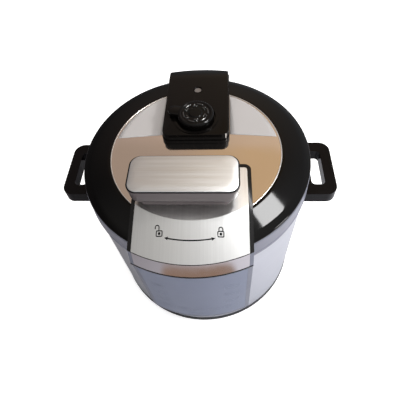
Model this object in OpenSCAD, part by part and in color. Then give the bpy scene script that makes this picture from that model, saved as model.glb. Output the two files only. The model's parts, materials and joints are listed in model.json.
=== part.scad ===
// Countertop electric pressure cooker with a twist-lock lid.
// Millimetres. +Z is up, the front with the control panel faces -Y, +X is the right-hand side.
// The origin is on the body's axis, at the surface that the feet stand on.

/* [Body] */
// Outer radius of the steel housing at its lower edge
body_low_r = 138.5; // [138:0.5:139.5]
// Outer radius of the steel housing at its upper edge
body_high_r = 144; // [143.5:0.5:144]
// Height of the housing's lower edge
body_low_z = 12; // [12:1:14]
// Height of the housing's upper edge
body_high_z = 205; // [203:1:205]
// Outer radius of the ring that carries the rim
rim_r = 145.5; // [145:0.1:145.5]
// Height of the rim's top edge
rim_z = 235.6; // [235:0.1:235.6]

/* [Pot] */
// Inner radius of the lift-out pot
pot_r = 108; // [104:1:108]
// Wall of the lift-out pot
pot_wall = 2; // [1.5:0.5:2]
// Height of the underside of the pot
pot_z = 60.3; // [60.3:0.1:61]
// Height of the underside of the pot's flange
flange_z = 226; // [225.9:0.1:226]

/* [Lid] */
// Outer radius of the lid's black ring
lid_r = 145; // [144.5:0.1:145]
// Radius of the polished disc in the lid
disc_r = 109; // [107:0.5:109]
// Height of the polished disc's top
disc_z = 245.2; // [245:0.1:245.4]
// Half the width of the front tongue
tongue_half_w = 69; // [66:0.5:70]
// Rear edge of the tongue
tongue_rear_y = -32; // [-34:0.5:-30]
// Height of the tongue's flat top
tongue_z = 253.5; // [253:0.1:254]
// Outer radius of the tongue's front lip at its lower edge
lip_r = 158; // [157.5:0.1:158.5]
// Height of the lip's lower edge
lip_z = 213; // [212.6:0.1:214]

/* [Lid handle] */
// Length of the handle's top plate
handle_w = 124.5; // [116:0.5:128]
// Depth of the handle's top plate
handle_d = 50.5; // [46:0.5:52]
// Sideways place of the handle's centre
handle_x = -7; // [-7:0.5:0]
// Front-to-back place of the handle's centre
handle_y = -71; // [-73:0.5:-70]
// Height of the handle's top
handle_z = 290; // [288:1:292]

/* [Valve housing] */
// Half the width of the valve housing
block_half_w = 44; // [40:0.5:45]
// Front face of the valve housing
block_front_y = 9; // [6:0.5:10]
// Height of the valve housing's top
block_z = 260; // [259:0.5:261]
// Radius of the release knob
knob_r = 24; // [22:0.5:24.5]
// Height of the release knob's top
knob_z = 270; // [269:0.5:272]

/* [Side handles] */
// Reach of each side handle from the body's axis
grip_x = 180; // [176:1:182]
// Half the length of each side handle
grip_half_l = 43; // [40:1:44]
// Height of the side handles' underside
grip_low_z = 188; // [186:1:189]

/* [Control panel] */
// Half the width of the control panel
panel_half_w = 69; // [64:1:70]
// Height of the panel's lower edge
panel_low_z = 45; // [42:1:50]
// Height of the panel's upper edge
panel_high_z = 211; // [209:1:211]
// Outer radius of the panel at its lower edge
panel_low_r = 147.3; // [146:0.1:148]
// Outer radius of the panel at its upper edge
panel_high_r = 156; // [155:0.1:156.4]

/* [Hidden] */

$fn = 96;
far = 400;              // larger than the whole object, for cutting
skin = 0.8;             // sheet steel of the housing
wall = 2.5;             // moulded plastic wall
fit = 0.3;              // air between pieces that move past each other
hull_fn = 32;

// Housing and rim
trim_z = body_high_z + 1.6;
trough_r = rim_r - 12;
trough_floor_z = 210;
grip_high_z = body_high_z;
grip_hole = [149, 166, 27.5];
grip_corner_r = 14;
grip_screw_y = 35;
grip_screw_z = (grip_low_z + grip_high_z) / 2;

// Pressure shell, with its mouth and bayonet lugs
shell_in_r = pot_r + pot_wall + 3;
shell_out_r = shell_in_r + 1.5;
shell_low_z = 44;
mouth_r = 124;
mouth_z = flange_z - 4;
mouth_t = 3.7;
pot_flange_r = 117;
lug_count = 6;
lug_angle = 26;
shell_lug_r = mouth_r + 3.4;

// Heating plate and what is fixed under it
plate_r = 105;
plate_z = 60;
plate_low_z = 50;
plate_hole_r = 16.5;
element_r = 78;
element_tube_r = 4;
terminal_angles = [250, 290];
post_r = 96;
post_angles = [45, 135, 225, 315];
screw_hole_r = 1.9;
floor_z = 9;

// Display, behind a window in the panel
display_y = -146;
board_y = -132.6;

// Sensor
sensor_r = 11.5;
stem_r = 3;
sleeve_floor_z = 30;
spring_r = 8;
spring_wire_r = 0.8;
spring_turns = 5;
spring_steps = 16;
spring_high_z = 54;

// Lid, from the sealing face up
seal_in_r = 105;
dome_z = 236.3;
dome_t = 2;
dome_r = 131.5;
lid_lug_z = [mouth_z - 4.6, mouth_z - 0.6];
lid_boss_r = 123;
lid_boss_angles = [20, 160, 215, 325];
crease_r = disc_r;
lip_top = [lip_r - 4.5, tongue_z - 15.1];
lip_low = [lip_r, lip_z];
plate_t = 0.7;
rail_w = 4.5;

// Handle
plate_corner_r = 12;
plate_crown_r = 1250;   // the top is slightly arched from end to end
plate_thick = 1.2;
trim_thick = 1.8;
grip_slab_z = 268;
neck_w = 100;
neck_d = 22;
foot_d = 35;
foot_h = 3;
neck_screw_x = 36;

// Valve housing
block_corner_r = 11;
block_step_z = 250;
block_step = 1.2;
block_flat_y = 117;
block_curve_r = 94;
block_rear_r = 146;
vent_y = 41.5;
vent_top_z = 264;
float_y = 96.5;
well_r = 26;
collar_r = 29.5;
vent_r = 5;
weight_r = 8;
knob_turn = -13;        // the pointer tab rests a little behind the left
float_r = 3.2;
float_cap_r = 4.6;
float_hole_r = 5.8;
guide_r = 5;

// Inlet and collector at the rear
inlet_z = 40;
inlet_y = 142.6;
cup_half_w = 22;
cup_y = [147.4, lip_r];
cup_z = [141, 201];
cup_wall = 1.6;

function body_r(z) =
    body_low_r + (body_high_r - body_low_r) * (z - body_low_z) / (body_high_z - body_low_z);
function panel_r(z) =
    panel_low_r + (panel_high_r - panel_low_r) * (z - panel_low_z) / (panel_high_z - panel_low_z);

// ---- Shapes that repeat ----

// Solid of revolution about the body's axis; outline points are [radius, height]
module turned(outline) {
    rotate_extrude() polygon(outline);
}

module ring(r_out, r_in, z_low, z_high) {
    translate([0, 0, z_low]) difference() {
        cylinder(r = r_out, h = z_high - z_low);
        translate([0, 0, -1]) cylinder(r = r_in, h = z_high - z_low + 2);
    }
}

module rod(r, z_low, z_high) {
    translate([0, 0, z_low]) cylinder(r = r, h = z_high - z_low);
}

// Box between two opposite corners
module block(low, high) {
    translate(low) cube(high - low);
}

// Rectangle with round corners, centred
module round_rect(w, d, r) {
    square([w - 2 * r, d], center = true);
    square([w, d - 2 * r], center = true);
    for (x = [-1, 1], y = [-1, 1]) {
        translate([x * (w / 2 - r), y * (d / 2 - r)]) circle(r = r);
    }
}

// Copies of the children around the body's axis
module around(angles, r) {
    for (a = angles) rotate(a) translate([r, 0, 0]) children();
}

// Wedge that keeps one lug of a full ring
module sector(angle, r, z_low, z_high) {
    half = angle / 2;
    translate([0, 0, z_low]) linear_extrude(z_high - z_low)
        polygon([
            [0, 0],
            [r * cos(half), -r * sin(half)],
            [r * 1.2, 0],
            [r * cos(half), r * sin(half)]
        ]);
}

// Ring of bayonet lugs, with the first lug on +X
module lugs(r_out, r_in, z_low, z_high) {
    intersection() {
        ring(r_out, r_in, z_low, z_high);
        for (i = [0:lug_count - 1]) {
            rotate(i * 360 / lug_count) sector(lug_angle, r_out + 10, z_low - 1, z_high + 1);
        }
    }
}

module hex_nut(r_flats, r_bore, z_low, z_high) {
    translate([0, 0, z_low]) difference() {
        cylinder(r = r_flats / cos(30), h = z_high - z_low, $fn = 6);
        translate([0, 0, -1]) cylinder(r = r_bore, h = z_high - z_low + 2);
    }
}

// Pan-head screw, head down, driven upwards
module screw(head_r, shank_r, head_z, length) {
    rod(head_r, head_z, head_z + 2);
    rod(shank_r, head_z + 2, head_z + 2 + length);
}

// ---- Body ----

module outer_housing() {
    color("lightsteelblue") difference() {
        turned([
            [body_low_r - skin, body_low_z],
            [body_low_r, body_low_z],
            [body_high_r, body_high_z],
            [body_high_r - skin, body_high_z]
        ]);
        block([-42, -far, 70], [42, 0, 185]);
        block([-16, 0, inlet_z - 11.5], [16, far, inlet_z + 11.5]);
        for (side = [0, 180], y = [-1, 1]) {
            rotate(side) translate([130, y * grip_screw_y, grip_screw_z])
                rotate([0, 90, 0]) cylinder(r = 2.3, h = 30);
        }
    }
}

module base_pan() {
    color("black") difference() {
        turned([
            [0, 6], [135, 6], [136, 3], [body_low_r + 0.5, 3], [body_low_r + 0.5, body_low_z],
            [body_low_r - skin - fit, body_low_z], [body_low_r - skin - fit, 18],
            [body_low_r - skin - 3, 18], [body_low_r - skin - 3, floor_z], [0, floor_z]
        ]);
        around(post_angles, post_r) rod(screw_hole_r, 0, 20);
        for (row = [-2:2], side = [-1, 1]) {
            block([side * 40 - 22, row * 9 - 1.5, 0], [side * 40 + 22, row * 9 + 1.5, 20]);
        }
    }
}

module feet() {
    color("dimgray") around([0, 90, 180, 270], 112) difference() {
        rod(11, 0, 6);
        rod(4, -1, 2);
    }
}

module base_screws() {
    color("silver") around(post_angles, post_r) screw(3.5, screw_hole_r - 0.1, 4, 16);
}

module support_posts() {
    color("gray") around(post_angles, post_r) difference() {
        rod(6, floor_z, shell_low_z);
        rod(screw_hole_r, floor_z - 1, 24);
    }
}

module seam_trim() {
    color("black") ring(body_high_r + 0.1, body_high_r - 4, body_high_z, trim_z);
}

// Rim with a gutter for condensate, open at the top
module upper_ring() {
    color("slategray") difference() {
        turned([
            [shell_out_r, trim_z], [rim_r, trim_z], [rim_r, rim_z - 1], [rim_r - 1, rim_z],
            [trough_r + 1, rim_z], [trough_r, rim_z - 1],
            [trough_r, trough_floor_z], [shell_out_r, trough_floor_z]
        ]);
        turned([
            [trough_r + wall, trim_z - 1], [rim_r - wall, trim_z - 1],
            [rim_r - wall, rim_z - wall], [trough_r + wall, rim_z - wall]
        ]);
        translate([0, trough_r - 2, trough_floor_z + 3]) rotate([-90, 0, 0]) cylinder(r = 3, h = 30);
    }
}

module side_handle() {
    difference() {
        translate([0, 0, grip_low_z]) linear_extrude(grip_high_z - grip_low_z) difference() {
            translate([grip_x / 2, 0]) round_rect(grip_x, 2 * grip_half_l, grip_corner_r);
            translate([(grip_hole[0] + grip_hole[1]) / 2, 0])
                round_rect(grip_hole[1] - grip_hole[0], 2 * grip_hole[2], 5);
        }
        translate([0, 0, grip_low_z - 1]) cylinder(r = body_high_r + 0.2, h = far);
        for (y = [-1, 1]) {
            translate([130, y * grip_screw_y, grip_screw_z])
                rotate([0, 90, 0]) cylinder(r = screw_hole_r, h = 32);
        }
    }
}

module right_handle() {
    color("black") side_handle();
}

module left_handle() {
    color("black") mirror([1, 0, 0]) side_handle();
}

// Driven outwards from inside the housing into each side handle
module side_handle_screws() {
    color("silver") for (side = [0, 180], y = [-1, 1]) {
        rotate(side) translate([0, y * grip_screw_y, grip_screw_z]) rotate([0, 90, 0]) {
            rod(4, 134.5, 137);
            rod(screw_hole_r - 0.1, 137, 158);
        }
    }
}

// ---- Control panel ----

// Band that follows the panel's front: from `back` inside its face to `front` inside its face
module panel_band(half_w, z_low, z_high, front, back) {
    intersection() {
        turned([
            [panel_r(z_low) - back, z_low], [panel_r(z_low) - front, z_low],
            [panel_r(z_high) - front, z_high], [panel_r(z_high) - back, z_high]
        ]);
        block([-half_w, -far, 0], [half_w, 0, far]);
    }
}

module panel_frame() {
    color("slategray") difference() {
        intersection() {
            turned([
                [body_r(panel_low_z) + 0.3, panel_low_z], [panel_low_r - 1.5, panel_low_z],
                [panel_low_r, panel_low_z + 1.5], [panel_high_r, panel_high_z],
                [rim_r + 0.4, panel_high_z], [rim_r + 0.4, body_high_z],
                [body_r(body_high_z - 2) + 0.3, body_high_z - 2]
            ]);
            block([-panel_half_w, -far, 0], [panel_half_w, 0, far]);
        }
        panel_band(panel_half_w - 5.5, panel_low_z + 7, panel_high_z - 3, -1, 0.7);
        block([-28, display_y - 0.6, 108], [28, -100, 172]);
    }
}

module panel_overlay() {
    color("lightslategray")
        panel_band(panel_half_w - 5.6, panel_low_z + 7.1, panel_high_z - 3.1, 0.1, 0.65);
}

module control_board() {
    color("darkgreen") block([-40, board_y, 72], [40, board_y + 1.6, 182]);
}

// Numeric display and the row of status lamps under it
module display_module() {
    color("dimgray") {
        block([-26, display_y, 140], [26, board_y, 162]);
        for (x = [-3:3]) {
            translate([x * 8, board_y, 118]) rotate([90, 0, 0]) cylinder(r = 1.8, h = 7);
        }
    }
}

// ---- Inside the body ----

module pressure_shell() {
    color("silver") {
        difference() {
            turned([
                [0, shell_low_z], [shell_out_r, shell_low_z], [shell_out_r, mouth_z],
                [mouth_r, mouth_z], [mouth_r, mouth_z + mouth_t], [shell_in_r, mouth_z + mouth_t],
                [shell_in_r, shell_low_z + 2], [0, shell_low_z + 2]
            ]);
            rod(plate_hole_r, 0, 60);
            around(terminal_angles, element_r) rod(6, 0, 60);
        }
        lugs(shell_lug_r, mouth_r - 0.5, mouth_z, mouth_z + mouth_t);
    }
}

module heating_plate() {
    color("gainsboro") difference() {
        union() {
            turned([
                [plate_hole_r, plate_low_z], [plate_r - 2, plate_low_z], [plate_r, plate_low_z + 2],
                [plate_r, plate_z - 1], [plate_r - 1, plate_z], [plate_hole_r, plate_z]
            ]);
            around(post_angles, 60) rod(5, shell_low_z + 2, plate_low_z + 1);
        }
        ring(element_r + element_tube_r + 0.1, element_r - element_tube_r - 0.1, 0, 55.1);
    }
}

// Sheathed ring in the plate's groove, with two terminals through the shell's floor
module heating_element() {
    color("peru") {
        rotate_extrude() translate([element_r, 51]) circle(r = element_tube_r);
        around(terminal_angles, element_r) rod(3, 34, 50);
    }
}

module thermal_fuse() {
    color("white") translate([0, 45, 48]) rotate([0, 90, 0]) translate([0, 0, -9]) {
        cylinder(r = 1.8, h = 18);
        translate([0, 0, -8]) cylinder(r = 0.6, h = 34);
    }
}

module heat_shield() {
    color("lightgray") ring(125, 124.2, 60, 200);
}

module sensor_sleeve() {
    color("gray") difference() {
        union() {
            rod(15.5, sleeve_floor_z - 2, 52);
            rod(24, shell_low_z - 2, shell_low_z);
        }
        rod(13, sleeve_floor_z, 60);
        rod(stem_r + fit, 0, 60);
    }
}

// Helix of round wire: one ring of points for each step along the coil
module sensor_spring() {
    steps = spring_turns * spring_steps;
    sides = 6;
    rise = (spring_high_z - sleeve_floor_z - 2 * spring_wire_r - 0.2) / steps;
    points = [for (i = [0:steps], s = [0:sides - 1])
        let (
            a = i * 360 / spring_steps,
            b = s * 360 / sides,
            r = spring_r + spring_wire_r * cos(b)
        )
        [r * cos(a), r * sin(a),
         sleeve_floor_z + 0.1 + spring_wire_r + i * rise + spring_wire_r * sin(b)]];
    walls = [for (i = [0:steps - 1], s = [0:sides - 1])
        let (
            a = i * sides + s,
            b = i * sides + (s + 1) % sides
        )
        [a, a + sides, b + sides, b]];
    ends = [
        [for (s = [0:sides - 1]) s],
        [for (s = [sides - 1:-1:0]) steps * sides + s]
    ];
    color("silver") polyhedron(points, concat(walls, ends));
}

module temperature_sensor() {
    color("gainsboro") {
        rod(sensor_r, 54, plate_z);
        rod(stem_r, 24, 54);
    }
}

module power_board() {
    color("darkgreen") {
        block([-62, -62, floor_z + 5], [62, -24, floor_z + 6.6]);
        for (x = [-56, 56], y = [-56, -30]) {
            translate([x, y, 0]) rod(3, floor_z, floor_z + 5);
        }
        block([18, -54, floor_z + 6.6], [36, -34, floor_z + 22]);
        for (x = [-50, -36]) translate([x, -40, 0]) rod(5, floor_z + 6.6, floor_z + 24);
    }
}

module transformer() {
    color("orange") block([-22, -56, floor_z + 6.6], [8, -30, floor_z + 28]);
}

module pressure_switch() {
    color("dimgray") {
        block([34, 20, 27], [62, 32, 43]);
        translate([48, 26, 0]) rod(2, 43, shell_low_z);
    }
}

module power_inlet() {
    color("black") difference() {
        union() {
            block([-18, inlet_y - 2.4, inlet_z - 14], [18, inlet_y, inlet_z + 14]);
            block([-15, inlet_y - 25, inlet_z - 10.5], [15, inlet_y - 2, inlet_z + 10.5]);
        }
        block([-12, inlet_y - 20, inlet_z - 7.5], [12, inlet_y + 1, inlet_z + 7.5]);
        for (pin = [[-7, -2], [7, -2], [0, 3]]) {
            block(
                [pin[0] - 1.1, inlet_y - 30, inlet_z + pin[1] - 2.1],
                [pin[0] + 1.1, inlet_y, inlet_z + pin[1] + 2.1]
            );
        }
    }
}

module inlet_pins() {
    color("gold") for (pin = [[-7, -2], [7, -2], [0, 3]]) {
        block(
            [pin[0] - 1, inlet_y - 26.5, inlet_z + pin[1] - 2],
            [pin[0] + 1, inlet_y - 6.5, inlet_z + pin[1] + 2]
        );
    }
}

// Two hooked rails that the collector's flanges slide down into
module collector_bracket() {
    color("dimgray") difference() {
        union() {
            block([-28.6, 144.4, cup_z[0] - 3], [28.6, cup_y[0] - fit, cup_z[1] + 2]);
            for (side = [0, 1]) mirror([side, 0, 0]) {
                block([26.4, 144.4, cup_z[0] - 3], [28.6, 152, cup_z[1] + 2]);
                block([23, 150, cup_z[0] - 3], [28.6, 152, cup_z[1] + 2]);
                block([23, 144.4, cup_z[0] - 3], [28.6, 152, cup_z[0] - 1]);
            }
        }
        rod(body_high_r + 0.3, 0, far);
    }
}

module water_collector() {
    color("white") difference() {
        union() {
            block([-cup_half_w, cup_y[0], cup_z[0]], [cup_half_w, cup_y[1], cup_z[1]]);
            block([-26, 148, cup_z[0] - 0.9], [26, 149.6, cup_z[1]]);
        }
        block(
            [-cup_half_w + cup_wall, cup_y[0] + cup_wall, cup_z[0] + cup_wall],
            [cup_half_w - cup_wall, cup_y[1] - cup_wall, far]
        );
    }
}

module inner_pot() {
    out = pot_r + pot_wall;
    color("darkgray") turned([
        [0, pot_z], [out - 6, pot_z], [out - 2, pot_z + 2], [out, pot_z + 6],
        [out, flange_z], [pot_flange_r, flange_z], [pot_flange_r, flange_z + 2],
        [pot_r, flange_z + 2], [pot_r, pot_z + 7], [pot_r - 2, pot_z + 4],
        [pot_r - 6, pot_z + pot_wall], [0, pot_z + pot_wall]
    ]);
}

// Soft ring with a lip that opens inwards and down
module sealing_ring() {
    low = flange_z + 2.2;
    color("white") turned([
        [pot_flange_r - 6, low], [pot_flange_r, low], [pot_flange_r, dome_z - fit],
        [seal_in_r, dome_z - fit], [seal_in_r, low + 1], [seal_in_r + 1, low + 1],
        [seal_in_r + 2.5, dome_z - 3], [pot_flange_r - 4, dome_z - 3]
    ]);
}

// ---- Lid ----

module lid_ring() {
    ledge_z = disc_z - 1;
    color("black") {
        turned([
            [lid_r - 3.5, rim_z + 0.6], [lid_r - 0.6, rim_z + 0.6], [lid_r, rim_z + 1.2],
            [lid_r, 238.2], [lid_r - 0.6, 239.4], [lid_r - 2, 240.2], [lid_r - 6, 241.3],
            [disc_r + 3, disc_z + 0.1], [disc_r + 0.5, disc_z + 0.2], [disc_r + 0.5, ledge_z],
            [disc_r - 6, ledge_z], [disc_r - 6, ledge_z - 2], [disc_r, ledge_z - 2],
            [lid_r - 8, 239.2], [lid_r - 3.5, 238]
        ]);
        around(lid_boss_angles, lid_boss_r) difference() {
            rod(5, dome_z + dome_t, 241.8);
            rod(screw_hole_r, 0, 240.5);
        }
    }
}

module lid_disc() {
    color("tan") difference() {
        rod(disc_r + 0.3, disc_z - 1, disc_z);
        translate([0, vent_y, 0]) rod(10, 0, far);
        translate([0, float_y, 0]) rod(10, 0, far);
    }
}

// Inner steel lid: a flat dome, a skirt that drops into the gutter, and lugs turned inwards
module pressure_lid() {
    color("silver") {
        difference() {
            turned([
                [0, dome_z], [dome_r - 2, dome_z], [dome_r - 2, lid_lug_z[0]], [dome_r, lid_lug_z[0]],
                [dome_r, dome_z + dome_t - 1], [dome_r - 1, dome_z + dome_t], [0, dome_z + dome_t]
            ]);
            translate([0, vent_y, 0]) rod(vent_r + 0.05, 0, far);
            translate([0, float_y, 0]) rod(guide_r + 0.05, 0, far);
            around(lid_boss_angles, lid_boss_r) rod(screw_hole_r + 0.1, 0, far);
        }
        lugs(dome_r - 1.5, shell_lug_r + fit, lid_lug_z[0], lid_lug_z[1]);
    }
}

// Wire frame that holds the sealing ring in the lid
module seal_rack() {
    color("silver") {
        ring(seal_in_r - 0.5, seal_in_r - 2, 229, dome_z);
        ring(seal_in_r - 1.5, seal_in_r - 3, dome_z - 1.2, dome_z);
    }
}

module lid_screws() {
    color("silver") around(lid_boss_angles, lid_boss_r)
        screw(3.4, screw_hole_r - 0.1, dome_z - 2, dome_t + 2.1);
}

// Plan of the tongue, with round rear corners, inset by `inset`
module tongue_plan(inset) {
    half = tongue_half_w - inset;
    rear = tongue_rear_y - inset;
    corner = max(8 - inset, 3);
    front = -180;
    linear_extrude(far) {
        translate([-half, front]) square([2 * half, rear - corner - front]);
        translate([-half + corner, front]) square([2 * (half - corner), rear - front]);
        for (x = [-1, 1]) translate([x * (half - corner), rear - corner]) circle(r = corner);
    }
}

module handle_screw_holes() {
    for (x = [-1, 1]) {
        translate([handle_x + x * neck_screw_x, handle_y, 0]) rod(screw_hole_r + 0.2, 200, 260);
    }
}

// Frame of the bridge: hollow below, with side rails that stand just above the plate
module tongue_frame() {
    color("black") difference() {
        intersection() {
            turned([
                [0, disc_z + 0.2], [disc_r, disc_z + 0.2], [disc_r + 1, disc_z + 0.5],
                [lid_r - 2, disc_z - 4.3], [rim_r + 1.5, disc_z - 6], [rim_r + 1.5, lip_z],
                [lip_r + 0.2, lip_z], [lip_r + 0.2, lip_z + 1.7],
                [lip_top[0] + 0.4, lip_top[1] + 0.3], [crease_r + 0.2, tongue_z + 0.5],
                [0, tongue_z + 0.5]
            ]);
            tongue_plan(0);
        }
        intersection() {
            turned([
                [0, tongue_z - plate_t], [crease_r - 0.1, tongue_z - plate_t],
                [lip_top[0] - 0.2, lip_top[1] - plate_t], [170, lip_top[1] - plate_t],
                [170, tongue_z + 5], [0, tongue_z + 5]
            ]);
            tongue_plan(rail_w);
        }
        // Seat of the lip, which wraps round both corners
        difference() {
            turned([
                [lip_top[0] - 5, lip_top[1] - 0.75], [lip_r - 6, lip_z + 1.7],
                [170, lip_z + 1.7], [170, lip_top[1] - 0.75]
            ]);
            lip_core(lip_r - 1.3, 1.6);
        }
        intersection() {
            turned([
                [20, disc_z - 2], [20, tongue_z - 3.2], [crease_r - 0.6, tongue_z - 3.2],
                [lip_top[0] - 4.8, lip_top[1] - 2.8], [lip_top[0] - 4.2, lip_z - 1],
                [rim_r + 0.5, lip_z - 1], [rim_r + 0.5, disc_z - 9], [disc_r, disc_z - 2]
            ]);
            tongue_plan(rail_w - 1.5);
        }
        handle_screw_holes();
    }
}

module tongue_plate() {
    color("gainsboro") difference() {
        intersection() {
            turned([
                [0, tongue_z - plate_t], [crease_r - 0.1, tongue_z - plate_t],
                [lip_top[0] - 0.2, lip_top[1] - plate_t], [lip_top[0], lip_top[1]],
                [crease_r, tongue_z], [0, tongue_z]
            ]);
            tongue_plan(rail_w);
        }
        handle_screw_holes();
    }
}

// Front of the bridge behind the lip, out to radius `low_r` at the bottom
module lip_core(low_r, side) {
    intersection() {
        turned([
            [135, lip_z - 1], [low_r, lip_z - 1], [low_r - 4.4, lip_top[1] + 1.6],
            [135, lip_top[1] + 1.6]
        ]);
        tongue_plan(side);
    }
}

// Cap over the bridge's front edge, with a short return round each corner
module front_lip() {
    color("thistle") difference() {
        intersection() {
            turned([
                [lip_top[0] - 4.5, lip_top[1] - 0.85], [lip_r - 5.5, lip_z + 1.9],
                [lip_r - 0.34, lip_z + 1.9], [lip_top[0] + 0.15, lip_top[1] - 0.85]
            ]);
            tongue_plan(0);
        }
        lip_core(lip_r - 0.8, 1.3);
    }
}

// Slab with the handle's plan, `inset` smaller all round
module handle_slab(inset, z, h) {
    translate([handle_x, handle_y, z]) linear_extrude(h)
        round_rect(handle_w - 2 * inset, handle_d - 2 * inset, plate_corner_r - inset);
}

// What lies more than `depth` under the handle's arched top
module under_crown(depth) {
    translate([handle_x, -far / 2, handle_z - plate_crown_r]) rotate([-90, 0, 0])
        cylinder(r = plate_crown_r - depth, h = far, $fn = 360);
}

// Layer of the handle between two depths under its arched top
module crown_layer(inset, depth, thick) {
    difference() {
        intersection() {
            handle_slab(inset, handle_z - 12, 12);
            under_crown(depth);
        }
        under_crown(depth + thick);
    }
}

// Grip on a narrower neck, so that fingers reach under it from the front and the rear
module handle_body() {
    color("rosybrown") difference() {
        union() {
            intersection() {
                hull($fn = hull_fn) {
                    handle_slab(2.5, grip_slab_z, 0.5, $fn = hull_fn);
                    handle_slab(0.6, handle_z - plate_thick - trim_thick, 0.5, $fn = hull_fn);
                }
                under_crown(plate_thick + trim_thick + 0.02);
            }
            translate([handle_x, handle_y, tongue_z]) {
                linear_extrude(grip_slab_z - tongue_z + 1) round_rect(neck_w, neck_d, 9.5);
                linear_extrude(foot_h) round_rect(neck_w + 6, foot_d, 12);
            }
        }
        for (x = [-1, 1]) {
            translate([handle_x + x * neck_screw_x, handle_y, 0]) rod(screw_hole_r, 0, 270);
        }
    }
}

module handle_trim() {
    color("black") crown_layer(-0.4, plate_thick, trim_thick);
}

module handle_plate() {
    color("gainsboro") crown_layer(0, 0, plate_thick);
}

// Driven up through the tongue's frame and plate into the neck
module handle_screws() {
    color("silver") for (x = [-1, 1]) {
        translate([handle_x + x * neck_screw_x, handle_y, 0]) {
            screw(3.6, screw_hole_r - 0.1, tongue_z - 5.2, 16);
        }
    }
}

// Solid form of the valve housing, `inset` smaller in plan and `drop` lower on top
module block_form(inset, drop) {
    half = block_half_w - inset;
    front = block_front_y + inset;
    corner = block_corner_r - inset;
    intersection() {
        linear_extrude(far) intersection() {
            union() {
                translate([-half, front + corner]) square([2 * half, far]);
                translate([-half + corner, front]) square([2 * (half - corner), far]);
                for (x = [-1, 1]) translate([x * (half - corner), front + corner]) circle(r = corner);
            }
            circle(r = block_rear_r - inset);
        }
        union() {
            block([-far, -far, 230], [far, block_flat_y, block_z - drop]);
            translate([-far, block_flat_y, block_z - block_curve_r]) rotate([0, 90, 0])
                cylinder(r = block_curve_r - drop, h = 2 * far);
        }
    }
}

// Space that the lid's own surface takes up
module lid_envelope() {
    turned([
        [0, 0], [160, 0], [160, rim_z], [lid_r + 0.3, 238.4], [lid_r - 0.3, 239.8],
        [lid_r - 2, 240.5], [lid_r - 6, 241.6], [disc_r + 3, disc_z + 0.4], [0, disc_z + 0.4]
    ]);
}

// Hollow cover with a wider foot; the knob turns in a well inside the raised collar
module valve_housing() {
    color("black") difference() {
        union() {
            block_form(block_step, 0);
            intersection() {
                block_form(0, 0);
                block([-far, -far, 200], [far, far, block_step_z]);
            }
            translate([0, vent_y, 0]) rod(collar_r, block_z - 3, block_z + 1.2);
        }
        difference() {
            block_form(wall + block_step, wall);
            translate([0, vent_y, 0]) rod(collar_r, block_z - 5, far);
            translate([0, float_y, 0]) rod(float_hole_r + 2, block_z - 5, far);
        }
        lid_envelope();
        translate([0, vent_y, 0]) {
            rod(well_r, block_z - 2.5, far);
            rod(weight_r + 1.5, 0, far);
        }
        translate([0, float_y, 0]) rod(float_hole_r, 0, far);
    }
}

module vent_pipe() {
    color("silver") translate([0, vent_y, 0]) difference() {
        union() {
            rod(vent_r, 226, vent_top_z);
            rod(9, dome_z + dome_t, dome_z + dome_t + 2.7);
        }
        rod(1.6, 0, far);
    }
}

module vent_nut() {
    color("silver") translate([0, vent_y, 0]) hex_nut(8, vent_r + 0.05, 230.5, dome_z);
}

// Slotted cup that keeps food away from the vent
module anti_block_shield() {
    color("lightgray") translate([0, vent_y, 0]) difference() {
        rod(15, 216, 229.5);
        rod(14, 217, 228.5);
        rod(vent_r + 0.05, 220, far);
        for (a = [0:30:150]) rotate(a) block([-20, -1.5, 219], [20, 1.5, 226.5]);
    }
}

module float_guide() {
    color("silver") translate([0, float_y, 0]) difference() {
        union() {
            rod(guide_r, 231.5, 249.5);
            rod(8, dome_z + dome_t, dome_z + dome_t + 2);
        }
        rod(float_r + fit, 0, far);
    }
}

// ---- Moving valve parts ----

// Knob with a pointer tab that turns above the well's collar
module release_valve() {
    low = block_z - 1.7;
    roof = knob_z - 4;
    color("black") translate([0, vent_y, 0]) difference() {
        union() {
            rotate_extrude() polygon([
                [0, low], [knob_r, low], [knob_r, knob_z - 3], [knob_r - 1, knob_z - 1.4],
                [knob_r - 3.5, knob_z - 0.6], [0, knob_z - 0.4]
            ]);
            rod(8, knob_z - 1, knob_z);
            rotate(knob_turn) translate([0, 0, block_z + 3]) linear_extrude(6) difference() {
                union() {
                    translate([-30, -8]) square([30, 16]);
                    translate([-30, 0]) circle(r = 8);
                }
                circle(r = 12);
            }
        }
        difference() {
            rod(knob_r - 2.5, 0, roof);
            rod(weight_r + 2.5, low, far);
        }
        rod(weight_r + 0.05, 0, roof);
    }
}

module valve_weight() {
    color("silver") translate([0, vent_y, 0]) difference() {
        rod(weight_r, block_z - 5, knob_z - 4);
        rod(vent_r + fit, 0, vent_top_z + 0.3);
    }
}

module float_valve() {
    color("dimgray") translate([0, float_y, 0]) {
        rod(6, 222, 225);
        rod(float_r, 225, block_z - 3);
        rod(4.8, 249.7, 251.2);
        rod(float_cap_r, block_z - 3.4, block_z - 1.4);
    }
}

module float_seal() {
    color("firebrick") translate([0, float_y, 0]) ring(5.4, float_r + 0.02, 225, 226.5);
}

outer_housing();
base_pan();
feet();
base_screws();
support_posts();
seam_trim();
upper_ring();
left_handle();
right_handle();
side_handle_screws();
panel_frame();
panel_overlay();
display_module();
control_board();
pressure_shell();
heating_plate();
heating_element();
thermal_fuse();
heat_shield();
sensor_sleeve();
sensor_spring();
temperature_sensor();
power_board();
transformer();
pressure_switch();
power_inlet();
inlet_pins();
collector_bracket();
water_collector();
inner_pot();
sealing_ring();
lid_ring();
lid_disc();
pressure_lid();
seal_rack();
lid_screws();
tongue_frame();
tongue_plate();
front_lip();
handle_body();
handle_trim();
handle_plate();
handle_screws();
valve_housing();
vent_pipe();
vent_nut();
anti_block_shield();
float_guide();
release_valve();
valve_weight();
float_valve();
float_seal();
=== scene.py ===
"""Looks of a countertop electric pressure cooker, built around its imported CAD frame."""

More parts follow.
